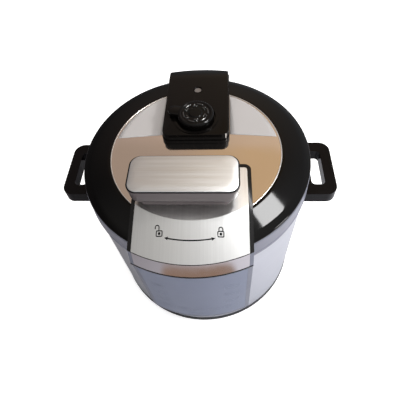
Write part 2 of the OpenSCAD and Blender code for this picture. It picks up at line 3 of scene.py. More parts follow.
import json
import math

import bmesh
import bpy
from mathutils import Matrix, Vector


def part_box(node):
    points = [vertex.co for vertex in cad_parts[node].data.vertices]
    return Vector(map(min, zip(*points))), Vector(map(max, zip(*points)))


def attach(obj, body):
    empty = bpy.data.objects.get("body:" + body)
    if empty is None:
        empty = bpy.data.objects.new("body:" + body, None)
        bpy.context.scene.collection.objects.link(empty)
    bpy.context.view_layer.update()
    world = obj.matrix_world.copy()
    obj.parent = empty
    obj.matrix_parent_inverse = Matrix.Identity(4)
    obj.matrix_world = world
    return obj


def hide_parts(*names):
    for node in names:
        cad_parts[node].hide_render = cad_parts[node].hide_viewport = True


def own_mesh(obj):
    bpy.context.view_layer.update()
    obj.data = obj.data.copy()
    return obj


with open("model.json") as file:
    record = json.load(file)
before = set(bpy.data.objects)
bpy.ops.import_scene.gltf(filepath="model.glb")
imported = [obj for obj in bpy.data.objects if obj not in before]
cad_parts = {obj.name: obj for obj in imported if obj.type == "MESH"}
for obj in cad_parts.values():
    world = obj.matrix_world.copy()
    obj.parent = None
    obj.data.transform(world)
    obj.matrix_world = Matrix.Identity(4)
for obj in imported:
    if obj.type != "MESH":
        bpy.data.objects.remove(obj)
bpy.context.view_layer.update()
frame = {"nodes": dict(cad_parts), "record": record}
MM = 0.001


# ---- Sizes from the frame, in millimetres ----


def box_mm(node):
    """Lowest and highest corner of a CAD node, in millimetres."""
    low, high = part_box(node)
    return low / MM, high / MM


lid_low, lid_high = box_mm("lid_ring")
disc_low, disc_high = box_mm("lid_disc")
block_low = box_mm("valve_housing")[0]
knob_low, knob_high = box_mm("release_valve")
plate_low, plate_high = box_mm("handle_plate")
body_low, body_high = box_mm("handle_body")
tongue_high = box_mm("tongue_plate")[1]
lip_low, lip_high = box_mm("front_lip")
pot_low, pot_high = box_mm("inner_pot")

LID_R = lid_high.x
DISC_R = disc_high.x
KNOB_R = knob_high.x
KNOB_Y = (knob_low.y + knob_high.y) / 2
KNOB_TURN = math.radians(-13)   # how far the knob's tab is turned from pointing left
KNOB_FLOOR = knob_high.z - 1.2  # bottom of the knob's recess
HANDLE_X = (plate_low.x + plate_high.x) / 2
HANDLE_Y = (plate_low.y + plate_high.y) / 2
SLAB_Z = 267.2          # underside of the handle's slab
CROWN = 1.55            # fall of the handle's top from its middle to its ends
CROWN_HALF_W = 62       # distance from the handle's middle at which it has fallen that much
PLATE_HALF_W = tongue_high.x
CREASE_R = 109          # where the tongue's top starts to slope down
TONGUE_EDGE = (-lip_low.y - 4.5, lip_high.z + 0.85)     # radius and height of its outer edge
PANEL_FACE = ((147.3, 45), (156, 211))                  # radius and height, low and high
PANEL_R = 150           # radius that distances along the panel's arc are measured at
LABEL_LOW_Y = 24.2      # where the foil panels start, beside the valve housing
LABEL_SLANT = 0.082     # slope of the foil panels' lower edges
ICON_Y = -121.5         # middle of the padlocks' cases
OPEN_X, CLOSED_X = -33.5, 33.7
ARROW_R = 129.5
ARROW_SWEEP = math.degrees(math.atan2(25, 128))
BEAD_Z = 211.4          # underside of the bead round the upper ring


# ---- Meshes ----


def add_object(name, mesh, material, smooth_angle=35):
    """Puts a mesh in the scene, smooth except at edges sharper than smooth_angle."""
    obj = bpy.data.objects.new(name, mesh)
    bpy.context.scene.collection.objects.link(obj)
    mesh.materials.clear()
    mesh.materials.append(material)
    for face in mesh.polygons:
        face.use_smooth = True
    mesh.set_sharp_from_angle(angle=math.radians(smooth_angle))
    return obj


def mesh_from(name, points_mm, faces):
    """Mesh with doubled points merged and its normals facing out."""
    mesh = bpy.data.meshes.new(name)
    mesh.from_pydata([Vector(p) * MM for p in points_mm], [], faces)
    work = bmesh.new()
    work.from_mesh(mesh)
    bmesh.ops.remove_doubles(work, verts=work.verts, dist=1e-6)
    bmesh.ops.recalc_face_normals(work, faces=work.faces)
    work.to_mesh(mesh)
    work.free()
    return mesh


def place(obj, body, slot, *nodes):
    """Every piece rides on a body and may stand for CAD nodes, whose meshes it hides; slot is not
    used.
    """
    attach(obj, body)
    if nodes:
        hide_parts(*nodes)
    return obj


def rounded(outline, default=0.0, steps=5):
    """Closed outline with its corners rounded; a point may carry its own radius."""
    result = []
    count = len(outline)
    for i, point in enumerate(outline):
        radius = point[2] if len(point) > 2 else default
        here = Vector(point[:2])
        before = Vector(outline[i - 1][:2]) - here
        after = Vector(outline[(i + 1) % count][:2]) - here
        reach = min(radius, before.length * 0.49, after.length * 0.49)
        if reach <= 0:
            result.append(tuple(here))
            continue
        start = here + before.normalized() * reach
        end = here + after.normalized() * reach
        for k in range(steps + 1):
            t = k / steps
            result.append(tuple(start * (1 - t) ** 2 + here * 2 * t * (1 - t) + end * t ** 2))
    return result


def refine(outline, closed=True, step=2.5):
    """The same outline with points no further apart than step, so it can follow a curve."""
    result = []
    count = len(outline)
    for i in range(count if closed else count - 1):
        a, b = Vector(outline[i]), Vector(outline[(i + 1) % count])
        parts = max(1, math.ceil((b - a).length / step))
        result += [tuple(a.lerp(b, k / parts)) for k in range(parts)]
    if not closed:
        result.append(tuple(outline[-1]))
    return result


def lathe(name, outline, material, centre=(0, 0), turns=192):
    """Solid of revolution of a closed outline of (radius, height); turns is its segments."""
    points = []
    for k in range(turns):
        a = 2 * math.pi * k / turns
        for r, z in outline:
            points.append((centre[0] + r * math.cos(a), centre[1] + r * math.sin(a), z))
    n = len(outline)
    faces = []
    for k in range(turns):
        m = (k + 1) % turns
        for i in range(n):
            j = (i + 1) % n
            if outline[i][0] < 1e-6 and outline[j][0] < 1e-6:
                continue
            faces.append((k * n + i, m * n + i, m * n + j, k * n + j))
    return add_object(name, mesh_from(name, points, faces), material)


def loft(name, loops, material, smooth_angle=35):
    """Closed solid through loops of equal length, capped at both ends."""
    n = len(loops[0])
    points = [p for loop in loops for p in loop]
    faces = [tuple(range(n))]
    for k in range(len(loops) - 1):
        for i in range(n):
            j = (i + 1) % n
            faces.append((k * n + i, k * n + j, (k + 1) * n + j, (k + 1) * n + i))
    faces.append(tuple(reversed(range((len(loops) - 1) * n, len(loops) * n))))
    return add_object(name, mesh_from(name, points, faces), material, smooth_angle)


def round_rect(half_w, half_d, radius, steps=8):
    """Counter-clockwise rectangle with round corners, centred."""
    loop = []
    for quarter, (sx, sy) in enumerate([(1, 1), (-1, 1), (-1, -1), (1, -1)]):
        for k in range(steps + 1):
            a = math.radians(90 * (quarter + k / steps))
            x = sx * (half_w - radius) + radius * math.cos(a)
            y = sy * (half_d - radius) + radius * math.sin(a)
            loop.append((x, y))
    return loop


def softened(node, material, width, segments=3, angle=40, wide=None):
    """Copy of a CAD node with its sharp edges rounded; wide is (test of a point, radius)."""
    mesh = frame["nodes"][node].data.copy()
    work = bmesh.new()
    work.from_mesh(mesh)
    bmesh.ops.remove_doubles(work, verts=work.verts, dist=2e-5)
    bmesh.ops.dissolve_limit(
        work, angle_limit=math.radians(1.0), verts=work.verts, edges=work.edges
    )
    if wide:
        test, radius = wide
        sharp = [
            e for e in work.edges
            if len(e.link_faces) == 2 and e.calc_face_angle(0) > math.radians(35)
            and all(test(v.co / MM) for v in e.verts)
        ]
        bmesh.ops.bevel(
            work, geom=sharp, offset=radius * MM, segments=6, profile=0.5, affect="EDGES",
            clamp_overlap=True
        )
    work.to_mesh(mesh)
    work.free()
    obj = add_object(node + "_soft", mesh, material)
    bevel = obj.modifiers.new("edges", "BEVEL")
    bevel.width = width * MM
    bevel.segments = segments
    bevel.limit_method = "ANGLE"
    bevel.angle_limit = math.radians(angle)
    bevel.harden_normals = True
    return obj


def inked(name, strokes, surface, width, material, lift=0.06, closed=False):
    """Flat printed strokes that follow a surface; strokes are lists of surface coordinates."""
    points, faces = [], []
    for stroke in strokes:
        n = len(stroke)
        start = len(points)
        for i, here in enumerate(stroke):
            before = Vector(stroke[i - 1] if closed or i else here)
            after = Vector(stroke[(i + 1) % n] if closed or i < n - 1 else here)
            along = (after - before).normalized()
            side = Vector((-along.y, along.x)) * width / 2
            for sign in (1, -1):
                points.append(surface(here[0] + sign * side.x, here[1] + sign * side.y, lift))
        for i in range(n if closed else n - 1):
            a, b = start + 2 * i, start + 2 * ((i + 1) % n)
            faces.append((a, a + 1, b + 1, b))
    return printed(name, points, faces, material)


def printed(name, points, faces, material):
    """Thin closed sheet of ink from a net of points on a surface."""
    obj = add_object(name, mesh_from(name, points, faces), material)
    sheet = obj.modifiers.new("ink", "SOLIDIFY")
    sheet.thickness = 0.05 * MM
    sheet.offset = 0
    return obj


def net(rows, columns):
    """Faces of a net whose points are listed row by row."""
    faces = []
    for j in range(rows):
        for i in range(columns):
            a = j * (columns + 1) + i
            faces.append((a, a + 1, a + columns + 2, a + columns + 1))
    return faces


def filled(name, low, high, radius, surface, material, rows=6, columns=4):
    """Printed rounded rectangle that follows a surface."""
    half = (high[0] - low[0]) / 2
    middle = (high[0] + low[0]) / 2
    points = []
    for j in range(rows + 1):
        v = low[1] + (high[1] - low[1]) * (0.5 - 0.5 * math.cos(math.pi * j / rows))
        edge = min(v - low[1], high[1] - v)
        inset = 0.0
        if edge < radius:
            inset = radius - math.sqrt(max(radius ** 2 - (radius - edge) ** 2, 0))
        for i in range(columns + 1):
            u = middle + (half - inset) * (2 * i / columns - 1)
            points.append(surface(u, v, 0.05))
    return printed(name, points, net(rows, columns), material)


def raised(name, strokes, surface, radius, material, sides=10):
    """Rounded bars that stand half out of a surface, one for each stroke."""
    points, faces = [], []
    for stroke in strokes:
        path = [Vector(p) for p in stroke]
        first = (path[0] - path[1]).normalized() * radius
        last = (path[-1] - path[-2]).normalized() * radius
        rings = [(path[0] + first, 0.1), (path[0] + first * 0.7, 0.7)]
        rings += [(p, 1.0) for p in path]
        rings += [(path[-1] + last * 0.7, 0.7), (path[-1] + last, 0.1)]
        start = len(points)
        for i, (here, scale) in enumerate(rings):
            ahead = rings[min(i + 1, len(rings) - 1)][0]
            behind = rings[max(i - 1, 0)][0]
            along = (ahead - behind).normalized()
            side = Vector((-along.y, along.x)) * radius * scale
            for k in range(sides):
                a = 2 * math.pi * k / sides
                spot = here + side * math.cos(a)
                points.append(surface(spot.x, spot.y, radius * scale * math.sin(a)))
        for i in range(len(rings) - 1):
            for k in range(sides):
                a, b = start + i * sides, start + (i + 1) * sides
                j = (k + 1) % sides
                faces.append((a + k, a + j, b + j, b + k))
        faces.append(tuple(range(start, start + sides)))
        faces.append(tuple(range(len(points) - sides, len(points))))
    return add_object(name, mesh_from(name, points, faces), material, 60)


# ---- Surfaces that print lies on ----


def on_tongue(x, y, lift):
    """Point on the tongue's top: flat inside the crease, a cone outside it."""
    r = math.hypot(x, y)
    z = tongue_high.z
    if r > CREASE_R:
        drop = (tongue_high.z - TONGUE_EDGE[1]) / (TONGUE_EDGE[0] - CREASE_R)
        z -= (r - CREASE_R) * drop
    return (x, y, z + lift)


def on_panel(u, z, lift):
    """Point on the control panel's film; u is the distance along the arc from its middle."""
    (r0, z0), (r1, z1) = PANEL_FACE
    r = r0 + (r1 - r0) * (z - z0) / (z1 - z0) - 0.1 + lift
    a = u / PANEL_R
    return (r * math.sin(a), -r * math.cos(a), z)


def on_lip(x, z, lift):
    """Point on the front lip's face."""
    fall = (lip_high.z - z) / (lip_high.z - lip_low.z)
    r = TONGUE_EDGE[0] + 0.15 + fall * 4.0 + lift
    return (x, -math.sqrt(r * r - x * x), z)


def on_disc(x, y, lift):
    return (x, y, disc_high.z + lift)


def on_knob(x, y, lift):
    """Point on the floor of the knob's recess, from the knob's own centre."""
    return (x, KNOB_Y + y, KNOB_FLOOR + lift)


def arc(radius, start, end, steps=12, centre=(0, 0)):
    """Points of a circular arc between two angles in degrees."""
    points = []
    for k in range(steps + 1):
        a = math.radians(start + (end - start) * k / steps)
        points.append((centre[0] + radius * math.cos(a), centre[1] + radius * math.sin(a)))
    return points


# ---- Materials ----


class Surface:
    """A Principled material, with noise in the frame's own coordinates for its variation."""

    def __init__(self, name, color, metallic, roughness, specular=0.5):
        self.material = bpy.data.materials.new(name)
        self.material.use_nodes = True
        self.nodes = self.material.node_tree.nodes
        self.links = self.material.node_tree.links
        self.shader = self.nodes["Principled BSDF"]
        self.shader.inputs["Base Color"].default_value = (*color, 1)
        self.shader.inputs["Metallic"].default_value = metallic
        self.shader.inputs["Roughness"].default_value = roughness
        self.shader.inputs["Specular IOR Level"].default_value = specular
        self.place = self.nodes.new("ShaderNodeTexCoord").outputs["Object"]
        self.material.diffuse_color = (*color, 1)

    def noise(self, scale, detail=3.0, roughness=0.55):
        """Noise stretched along each axis; scale is cycles per metre."""
        mapping = self.nodes.new("ShaderNodeMapping")
        mapping.inputs["Scale"].default_value = scale
        self.links.new(self.place, mapping.inputs["Vector"])
        texture = self.nodes.new("ShaderNodeTexNoise")
        texture.inputs["Scale"].default_value = 1.0
        texture.inputs["Detail"].default_value = detail
        texture.inputs["Roughness"].default_value = roughness
        self.links.new(mapping.outputs["Vector"], texture.inputs["Vector"])
        return texture.outputs["Fac"]

    def vary(self, factor, low, high):
        """Roughness that follows a noise."""
        spread = self.nodes.new("ShaderNodeMapRange")
        spread.inputs["From Min"].default_value = 0.3
        spread.inputs["From Max"].default_value = 0.7
        spread.inputs["To Min"].default_value = low
        spread.inputs["To Max"].default_value = high
        self.links.new(factor, spread.inputs["Value"])
        self.links.new(spread.outputs["Result"], self.shader.inputs["Roughness"])

    def tint(self, factor, dark, light):
        """Base colour that follows a noise."""
        ramp = self.nodes.new("ShaderNodeValToRGB")
        ramp.color_ramp.elements[0].position = 0.3
        ramp.color_ramp.elements[0].color = (*dark, 1)
        ramp.color_ramp.elements[1].position = 0.7
        ramp.color_ramp.elements[1].color = (*light, 1)
        self.links.new(factor, ramp.inputs["Fac"])
        self.links.new(ramp.outputs["Color"], self.shader.inputs["Base Color"])

    def relief(self, factor, distance_mm):
        """Fine relief that follows a noise."""
        bump = self.nodes.new("ShaderNodeBump")
        bump.inputs["Strength"].default_value = 1.0
        bump.inputs["Distance"].default_value = distance_mm * MM
        self.links.new(factor, bump.inputs["Height"])
        self.links.new(bump.outputs["Normal"], self.shader.inputs["Normal"])


def shade(color, factor):
    return tuple(min(c * factor, 1.0) for c in color)


def brushed(name, color, roughness, lines, contrast=0.05, depth=0.006):
    """Brushed sheet metal; lines is the noise scale along each axis, small along the strokes."""
    surface = Surface(name, color, 1.0, roughness)
    fine = surface.noise([v * 2 for v in lines], 2.0)
    streaks = surface.noise([v * 0.45 for v in lines], 4.0, 0.7)
    surface.tint(streaks, shade(color, 1 - contrast), shade(color, 1 + contrast))
    surface.vary(fine, roughness - 0.06, roughness + 0.08)
    surface.relief(fine, depth)
    return surface.material


def polished(name, color, roughness):
    """Mirror-finished metal with faint smears and a slow waviness."""
    surface = Surface(name, color, 1.0, roughness)
    smears = surface.noise((22, 40, 30), 5.0, 0.65)
    surface.vary(smears, roughness, roughness + 0.07)
    surface.tint(surface.noise((9, 9, 9), 2.0), shade(color, 0.95), color)
    surface.relief(surface.noise((14, 14, 14), 1.0), 0.05)
    return surface.material


def moulded(name, color, roughness, specular=0.5, grain=0.006, smudge=0.08):
    """Moulded plastic: fine texture, and slow changes in its gloss."""
    surface = Surface(name, color, 0.0, roughness, specular)
    surface.vary(surface.noise((45, 45, 45), 5.0, 0.6), roughness, roughness + smudge)
    surface.tint(surface.noise((18, 18, 18), 2.0), shade(color, 0.98), shade(color, 1.02))
    surface.relief(surface.noise((1800, 1800, 1800), 2.0), grain)
    return surface.material


def cast_metal(name, color, roughness, grain=0.03):
    """Cast, drawn or plated metal with an even fine grain."""
    surface = Surface(name, color, 1.0, roughness)
    surface.vary(surface.noise((60, 60, 60), 4.0), roughness - 0.05, roughness + 0.12)
    surface.tint(surface.noise((30, 30, 30), 4.0), shade(color, 0.85), shade(color, 1.05))
    surface.relief(surface.noise((900, 900, 900), 3.0), grain)
    return surface.material


def clear_plastic(name, color, roughness):
    """Clear moulded plastic that lets most light through."""
    surface = Surface(name, color, 0.0, roughness)
    surface.shader.inputs["Transmission Weight"].default_value = 0.75
    surface.shader.inputs["IOR"].default_value = 1.45
    surface.vary(surface.noise((40, 40, 40), 2.0), roughness, roughness + 0.04)
    surface.relief(surface.noise((300, 300, 300), 1.0), 0.001)
    return surface.material


def ink(name, color):
    """Screen-printed matt ink with a slightly uneven cover."""
    surface = Surface(name, color, 0.0, 0.65, 0.08)
    surface.tint(surface.noise((900, 900, 900), 2.0), shade(color, 0.9), shade(color, 1.08))
    return surface.material


BLACK = (0.0032, 0.0027, 0.0025)
STEEL = (0.66, 0.66, 0.66)

# Each finish: its maker, then the colour, the roughness and what else that maker takes.
FINISHES = {
    "housing_steel": (brushed, (0.62, 0.63, 0.66), 0.36, (5, 5, 1500)),
    "base_plastic": (moulded, (0.02, 0.02, 0.021), 0.5, 0.4, 0.02),
    "foot_rubber": (moulded, (0.03, 0.03, 0.03), 0.75, 0.3, 0.05),
    "fastener_steel": (cast_metal, (0.62, 0.62, 0.6), 0.3, 0.01),
    "bracket_steel": (cast_metal, (0.6, 0.61, 0.62), 0.42),
    "trim_black": (moulded, (0.005, 0.0045, 0.0045), 0.20, 0.25),
    "rim_plastic": (moulded, (0.20, 0.205, 0.25), 0.28, 0.5),
    "grip_black": (moulded, (0.0026, 0.0023, 0.0028), 0.12, 0.10),
    "panel_plastic": (moulded, (0.16, 0.17, 0.215), 0.3, 0.45),
    "panel_film": (moulded, (0.190, 0.216, 0.298), 0.28, 0.22, 0.002, 0.012),
    "display": (moulded, (0.03, 0.03, 0.035), 0.2),
    "circuit_board": (moulded, (0.02, 0.12, 0.05), 0.45),
    "shell_steel": (brushed, STEEL, 0.34, (6, 6, 900)),
    "plate_aluminium": (cast_metal, (0.68, 0.68, 0.69), 0.4),
    "element_copper": (cast_metal, (0.45, 0.30, 0.20), 0.45),
    "fuse_ceramic": (moulded, (0.8, 0.78, 0.72), 0.35),
    "spring_steel": (cast_metal, (0.6, 0.6, 0.6), 0.28, 0.005),
    "winding": (moulded, (0.7, 0.42, 0.06), 0.5),
    "switch_plastic": (moulded, (0.05, 0.05, 0.055), 0.5),
    "pin_brass": (cast_metal, (0.78, 0.6, 0.3), 0.3, 0.005),
    "cup_clear": (clear_plastic, (0.9, 0.92, 0.94), 0.1),
    "pot_aluminium": (brushed, (0.36, 0.36, 0.37), 0.38, (8, 8, 500)),
    "seal_silicone": (moulded, (0.78, 0.78, 0.75), 0.5, 0.4, 0.02),
    "lid_black": (moulded, shade(BLACK, 0.5), 0.05, 0.155, 0.0005, 0.02),
    "disc_mirror": (polished, (0.72, 0.66, 0.61), 0.05),
    "tongue_steel": (brushed, (0.74, 0.74, 0.73), 0.34, (1100, 7, 7), 0.045),
    "plate_steel": (brushed, (0.68, 0.705, 0.72), 0.34, (6, 1100, 6), 0.06),
    "lip_steel": (polished, (0.60, 0.57, 0.585), 0.07),
    "handle_satin": (moulded, (0.150, 0.128, 0.127), 0.28, 0.42, 0.003, 0.012),
    "valve_black": (moulded, BLACK, 0.07, 0.13, 0.002, 0.05),
    "vent_steel": (cast_metal, STEEL, 0.3, 0.01),
    "float_metal": (cast_metal, (0.3, 0.3, 0.31), 0.4, 0.01),
    "float_rubber": (moulded, (0.5, 0.08, 0.06), 0.55),
    "label_foil": (moulded, (0.42, 0.40, 0.39), 0.34, 0.35, 0.002, 0.03),
    "mark_gloss": (moulded, BLACK, 0.10, 1.0, 0.001, 0.01),
    "ink_dark": (ink, (0.008, 0.008, 0.009)),
    "ink_pale": (ink, (0.40, 0.43, 0.52)),
    "bead_bright": (polished, (0.72, 0.70, 0.68), 0.26),
}


# ---- Lid ----


def make_lid_ring():
    low, top = lid_low.z, lid_high.z
    outline = rounded([
        (LID_R - 3.5, low), (LID_R, low, 0.5), (LID_R, low + 2.6, 2.4),
        (LID_R - 7, low + 5.2, 5), (DISC_R + 3, top - 0.15, 1), (DISC_R + 0.3, top, 0.3),
        (DISC_R + 0.3, disc_low.z), (DISC_R - 8, disc_low.z), (DISC_R - 8, disc_low.z - 2),
        (DISC_R - 0.5, disc_low.z - 2), (LID_R - 8, low + 3), (LID_R - 3.5, low + 1.8)
    ], steps=6)
    ring = lathe("lid_ring_gloss", outline, looks["lid_black"])
    place(ring, "lid", "lid_black", "lid_ring")


def make_disc():
    top, low = disc_high.z, disc_low.z
    outline = [(0, low), (DISC_R, low), (DISC_R, top - 0.1), (DISC_R - 1.6, top)]
    outline += [(DISC_R * k / 12, top) for k in range(11, 0, -1)] + [(0, top)]
    disc = lathe("lid_disc_mirror", outline, looks["disc_mirror"])
    place(disc, "lid", "disc_mirror", "lid_disc")
    bead = rounded([
        (DISC_R - 1.3, top - 0.05), (DISC_R + 0.1, top - 0.05), (DISC_R + 0.2, top + 0.25),
        (DISC_R - 0.5, top + 0.5), (DISC_R - 1.2, top + 0.3)
    ], 0.3, 3)
    place(lathe("disc_bead", bead, looks["bead_bright"]), "lid", "disc_mirror")


def make_labels():
    """Blank foil panels on the disc, either side of the valve housing."""
    outer_r = DISC_R - 1.8
    inner_x = -block_low.x + 0.25
    rows, columns = 24, 8
    for side, name in ((-1, "label_left"), (1, "label_right")):
        points = []
        high_y = math.sqrt(outer_r ** 2 - inner_x ** 2)
        for j in range(rows + 1):
            y = LABEL_LOW_Y + (high_y - LABEL_LOW_Y) * j / rows
            reach = math.sqrt(outer_r ** 2 - y ** 2)
            for i in range(columns + 1):
                x = inner_x + (reach - inner_x) * i / columns
                slant = LABEL_SLANT * (x - inner_x) * (1 - j / rows)
                points.append(on_disc(side * x, y - slant, 0.08))
        place(printed(name, points, net(rows, columns), looks["label_foil"]), "lid",
              "disc_mirror")


def make_tongue():
    rail = softened("tongue_frame", looks["trim_black"], 0.7)
    place(rail, "lid", "trim_black", "tongue_frame")
    make_lip()
    print_padlock("padlock_open", OPEN_X, True)
    print_padlock("padlock_closed", CLOSED_X, False)
    print_arrow()


def print_on_tongue(name, stroke, width, closed=False):
    sheet = inked(name, [stroke], on_tongue, width, looks["ink_dark"], closed=closed)
    place(sheet, "lid", "tongue_steel")


def print_padlock(name, x, is_open):
    """Outline of a padlock's case and shackle, and its keyhole."""
    half_w, bottom, top = 3.2, ICON_Y - 3.4, ICON_Y + 2.2
    case = rounded([
        (x - half_w, bottom), (x + half_w, bottom), (x + half_w, top), (x - half_w, top)
    ], 0.8, 3)
    bow_r = 2.1
    lean, rise, free_end = (-2.6, 1.6, 2) if is_open else (0, 0, 0)
    shackle = [(x + lean + bow_r, top)]
    shackle += arc(bow_r, 0, 180, 10, (x + lean, top + 2.2 + rise))
    shackle.append((x + lean - bow_r, top + free_end))
    print_on_tongue(name + "_case", case, 1.1, True)
    print_on_tongue(name + "_shackle", shackle, 1.1)
    keyhole = filled(name + "_keyhole", (x - 1.4, ICON_Y - 2.1), (x + 1.4, ICON_Y + 0.9), 1.2,
                     on_tongue, looks["ink_dark"])
    place(keyhole, "lid", "tongue_steel")


def print_arrow():
    """Double-headed arrow that bends with the lid."""
    turn = arc(ARROW_R, 270 - ARROW_SWEEP, 270 + ARROW_SWEEP, 40)
    print_on_tongue("turn_arrow", turn, 1.45)
    slope = math.radians(ARROW_SWEEP)
    for side, name in ((-1, "arrow_head_left"), (1, "arrow_head_right")):
        tip = Vector(arc(ARROW_R, 270 + side * ARROW_SWEEP, 270 + side * ARROW_SWEEP, 1)[0])
        along = Vector((side * math.cos(slope), math.sin(slope)))
        across = Vector((-along.y, along.x))
        head = [tip + along * 3, tip + across * 1.9 - along, tip - across * 1.9 - along]
        points = [on_tongue(p.x, p.y, 0.06) for p in head]
        place(printed(name, points, [(0, 1, 2)], looks["ink_dark"]), "lid", "tongue_steel")


def make_lip():
    """Polished lip with a darker plastic end piece at each side, past a fine joint; the ends'
    darkness is partly painted shade of their side-facing faces.
    """
    lip = softened("front_lip", looks["lip_steel"], 0.3, 2)
    lip.data.materials.append(looks["panel_plastic"])
    work = bmesh.new()
    work.from_mesh(lip.data)
    joint = PLATE_HALF_W * MM
    for x in (-joint, joint):
        bmesh.ops.bisect_plane(
            work, geom=work.verts[:] + work.edges[:] + work.faces[:],
            plane_co=(x, 0, 0), plane_no=(1, 0, 0)
        )
    # The ends take the panel's darker plastic, which also paints the shade their side-facing faces
    # would take.
    for face in work.faces:
        if abs(face.calc_center_median().x) > joint:
            face.material_index = 1
    work.to_mesh(lip.data)
    work.free()
    place(lip, "lid", "lip_steel", "front_lip")
    low, high, steps = lip_low.z + 0.3, lip_high.z - 0.3, 12
    joints = []
    for x in (-PLATE_HALF_W, PLATE_HALF_W):
        joints.append([(x, low + (high - low) * k / steps) for k in range(steps + 1)])
    place(inked("lip_joints", joints, on_lip, 0.45, looks["ink_dark"]), "lid", "lip_steel")


def handle_loop(z, half_w, half_d, radius):
    """Plan outline of the handle, bent down towards its ends like its arched top."""
    loop = []
    for x, y in round_rect(half_w, half_d, radius, 10):
        sag = CROWN * (x / CROWN_HALF_W) ** 2 if z > body_high.z - 6 else 0
        loop.append((HANDLE_X + x, HANDLE_Y + y, z - sag))
    return loop


def make_handle():
    """Grip with a neck that flares into the tongue and into the slab above it."""
    low, high = body_low.z, body_high.z
    half_w = (body_high.x - body_low.x) / 2
    half_d = (body_high.y - body_low.y) / 2
    neck_w, neck_d, neck_radius = 50, 11, 9.5
    loops = []
    for rise, grow in ((0, 6.5), (1.2, 6.4), (2.2, 5.6), (2.9, 4.2), (3.6, 2.6), (4.8, 1.2),
                       (6.5, 0.3)):
        loops.append(handle_loop(low + rise, neck_w + grow * 0.5, neck_d + grow, neck_radius))
    for drop, grow in ((3.0, 0.1), (1.4, 0.7), (0.5, 1.7), (0, 3.2)):
        loops.append(handle_loop(
            SLAB_Z - drop, neck_w + grow, neck_d + grow, neck_radius + grow
        ))
    for rise, shrink in ((0, 2.2), (0.35, 1.1), (1.0, 0.35), (2.1, 0)):
        loops.append(handle_loop(
            SLAB_Z + rise, half_w - 1.3 - shrink, half_d - 1.3 - shrink, 10.5
        ))
    for drop, shrink in ((7, 0.6), (3, 0.2), (0.8, 0.05), (0.05, 0.1)):
        loops.append(handle_loop(high - drop, half_w - shrink, half_d - shrink, 11.4))
    grip = loft("handle_grip", loops, looks["handle_satin"], 50)
    place(grip, "lid", "handle_satin", "handle_body")
    rim = plate_high.z - 0.35
    loops = []
    for z, shrink in ((high, 1.0), (high + 0.4, 0.1), (rim - 0.9, -0.35), (rim - 0.3, -0.3),
                      (rim, 0.15), (rim, 3.5)):
        loops.append(handle_loop(z, half_w - shrink, half_d - shrink, 12 - min(shrink, 2)))
    place(loft("handle_rim", loops, looks["trim_black"], 50), "lid", "trim_black", "handle_trim")
    loops = []
    for drop, shrink in ((0.8, 0), (0.25, 0), (0.06, 0.12), (0, 0.4), (0, 9)):
        loops.append(handle_loop(
            plate_high.z - drop, half_w - 1.25 - shrink, half_d - 0.35 - shrink, 11.5
        ))
    top = loft("handle_top", loops, looks["plate_steel"], 50)
    place(top, "lid", "tongue_steel", "handle_plate")


def on_housing_rim(point):
    """True for a corner on the upper edge of the valve housing's own outline, not round a hole."""
    side_x, back_y, edge_z = 31, 138, 252
    outside = abs(point.x) > side_x or point.y < block_low.y + 3 or point.y > back_y
    return point.z > edge_z and outside


def make_valve_housing():
    shell = softened(
        "valve_housing", looks["valve_black"], 0.7, 3, 30, (on_housing_rim, 2.1)
    )
    place(shell, "lid", "valve_black", "valve_housing")


def turned_point(x, y):
    """Point given for a tab that points to -X, turned to where the knob rests."""
    c, s = math.cos(KNOB_TURN), math.sin(KNOB_TURN)
    return (x * c - y * s, KNOB_Y + x * s + y * c)


def make_knob():
    low, top = knob_low.z, knob_high.z
    outline = rounded([
        (KNOB_R - 2.2, low), (KNOB_R, low, 0.5), (KNOB_R, top - 3, 0.9),
        (KNOB_R - 0.9, top - 1.2, 1.4), (KNOB_R - 3.6, top - 0.3, 1.2),
        (KNOB_R - 5.0, KNOB_FLOOR, 0.5), (9.2, KNOB_FLOOR, 0.4), (8.2, top, 0.7), (0, top),
        (0, top - 3.5), (KNOB_R - 2.2, top - 3.5)
    ], steps=4)
    cap = lathe("knob_cap", outline, looks["valve_black"], (0, KNOB_Y), 128)
    place(cap, "knob", "valve_black", "release_valve")
    loops = []
    for z, inset in ((4.7, 1.0), (5.0, 0.35), (5.7, 0), (9.4, 0), (10.2, 0.35), (10.6, 1.1)):
        half_w = 8 - inset
        outline = arc(half_w, 90, 270, 16, (-30, 0)) + [(-14, -half_w), (-14, half_w)]
        loops.append([(*turned_point(x, y), low + z) for x, y in outline])
    place(loft("knob_tab", loops, looks["valve_black"]), "knob", "valve_black")
    hub = rounded([(8.1, low + 1), (10.5, low + 1), (10.5, top - 4), (8.1, top - 4)], 0.4, 2)
    place(lathe("knob_hub", hub, looks["valve_black"], (0, KNOB_Y), 64), "knob", "valve_black")
    bars = []
    for k in range(6):
        a = 60 * k + 12
        bars.append(arc(16.2, a - 15, a + 13, 6))
        bars.append(arc(12.6, a + 12, a + 34, 5))
        bars.append([arc(15.6, a + 24, a + 24, 1)[0], arc(14.2, a + 30, a + 30, 1)[0]])
    place(raised("knob_marks", bars, on_knob, 1.25, looks["mark_gloss"]), "knob", "valve_black")


# ---- Body ----


